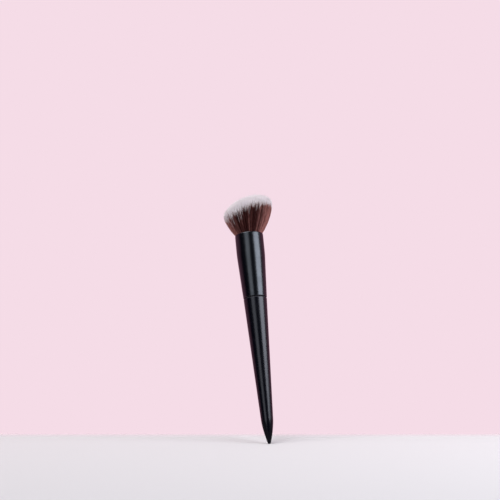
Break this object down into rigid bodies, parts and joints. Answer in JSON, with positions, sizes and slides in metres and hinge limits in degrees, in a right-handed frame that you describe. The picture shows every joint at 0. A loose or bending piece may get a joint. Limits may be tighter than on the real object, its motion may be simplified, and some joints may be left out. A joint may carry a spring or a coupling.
{
  "type": "angled blush brush",
  "caption": "Cosmetic brush for cheeks: slanted domed two-tone tuft in a black tapered metal ferrule, on a black lacquered handle that ends in a short cone.",
  "frame": {"origin": "middle of the small flat at the handle's tip", "axes": "+Z along the brush from the handle's tip to the hair, +X towards the high side of the slanted tuft, +Y along the tuft's thinner way"},
  "size_m": [0.0355, 0.0301, 0.1799],
  "materials": {
    "black_lacquer": "satin black lacquer over wood",
    "black_anodised": "satin black anodised",
    "two_tone_hair": "soft dark brown hair with pale tips",
    "cast_resin": "clear amber, as poured",
    "waxed_thread": "waxed cotton",
    "cured_adhesive": "cured adhesive"
  },
  "bodies": {
    "root": {"handle": "black_lacquer", "ferrule": "black_anodised", "bristles": "two_tone_hair", "binding_thread": "waxed_thread", "resin_plug": "cast_resin", "tenon_glue": "cured_adhesive"}
  },
  "joints": []
}
